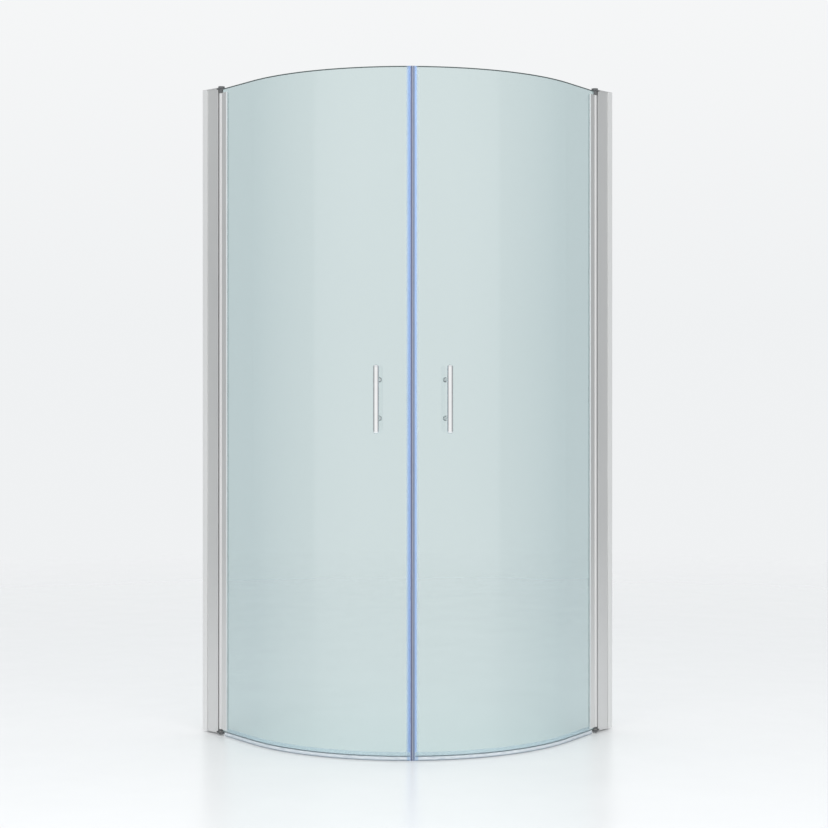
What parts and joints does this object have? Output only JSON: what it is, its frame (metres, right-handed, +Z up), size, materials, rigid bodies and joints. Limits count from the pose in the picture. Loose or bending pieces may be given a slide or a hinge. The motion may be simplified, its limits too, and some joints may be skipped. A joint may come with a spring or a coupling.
{
  "type": "quadrant shower enclosure",
  "caption": "Quadrant shower enclosure: bent glass doors on upright wall profiles, swinging on end pivots, with bar handles, a magnetic centre seal and soft bottom seals.",
  "frame": {"origin": "middle of the 900 mm square footprint, on the floor; the room corner is at -X, +Y", "axes": "+Z up; left wall plane at -X, right wall plane at +Y, doors bulge towards +X and -Y"},
  "size_m": [0.9, 0.9, 1.9],
  "materials": {
    "aluminium": "satin anodised",
    "cap_grey": "fine matt",
    "steel": "bright zinc",
    "dark_plastic": "matt dark grey",
    "gasket": "soft matt",
    "bush_plastic": "natural nylon",
    "clear_gasket": "clear soft vinyl",
    "glass": "clear float glass, polished edges",
    "clear_seal": "clear soft vinyl",
    "blue_seal": "bluish clear vinyl",
    "magnet": "flexible magnet",
    "chrome": "polished"
  },
  "bodies": {
    "root": {"left_wall_channel": "aluminium", "left_adjusting_profile": "aluminium", "left_profile_cap": "cap_grey", "left_lock_screws": "steel", "left_screw_covers": "cap_grey", "left_pivot_bracket_top": "dark_plastic", "left_pivot_bracket_bottom": "dark_plastic", "left_bracket_screws": "steel", "left_pivot_gasket": "gasket", "left_pivot_pin_top": "steel", "left_pivot_pin_bottom": "steel", "left_thrust_washer": "bush_plastic", "right_wall_channel": "aluminium", "right_adjusting_profile": "aluminium", "right_profile_cap": "cap_grey", "right_lock_screws": "steel", "right_screw_covers": "cap_grey", "right_pivot_bracket_top": "dark_plastic", "right_pivot_bracket_bottom": "dark_plastic", "right_bracket_screws": "steel", "right_pivot_gasket": "gasket", "right_pivot_pin_top": "steel", "right_pivot_pin_bottom": "steel", "right_thrust_washer": "bush_plastic"},
    "left_door": {"left_hinge_profile": "aluminium", "left_hinge_cap_top": "dark_plastic", "left_hinge_cap_bottom": "dark_plastic", "left_pivot_bush_top": "bush_plastic", "left_pivot_bush_bottom": "bush_plastic", "left_glazing_gasket": "clear_gasket", "left_glass": "glass", "left_bottom_seal": "clear_seal", "left_magnet_seal": "blue_seal", "left_magnet_strip": "magnet", "left_handle_bar": "chrome", "left_handle_posts": "chrome", "left_handle_washers": "clear_gasket", "left_handle_sleeves": "clear_gasket", "left_handle_rosettes": "chrome", "left_handle_screws": "steel"},
    "right_door": {"right_hinge_profile": "aluminium", "right_hinge_cap_top": "dark_plastic", "right_hinge_cap_bottom": "dark_plastic", "right_pivot_bush_top": "bush_plastic", "right_pivot_bush_bottom": "bush_plastic", "right_glazing_gasket": "clear_gasket", "right_glass": "glass", "right_bottom_seal": "clear_seal", "right_magnet_seal": "blue_seal", "right_magnet_strip": "magnet", "right_handle_bar": "chrome", "right_handle_posts": "chrome", "right_handle_washers": "clear_gasket", "right_handle_sleeves": "clear_gasket", "right_handle_rosettes": "chrome", "right_handle_screws": "steel"}
  },
  "joints": [
    {"name": "left_door_hinge", "type": "hinge", "parent": "root", "child": "left_door", "pos_m": [-0.3695, -0.4068, 0], "axis": [0, 0, -1], "range_deg": [0, 90]},
    {"name": "right_door_hinge", "type": "hinge", "parent": "root", "child": "right_door", "pos_m": [0.4068, 0.3695, 0], "axis": [0, 0, 1], "range_deg": [0, 90]}
  ]
}
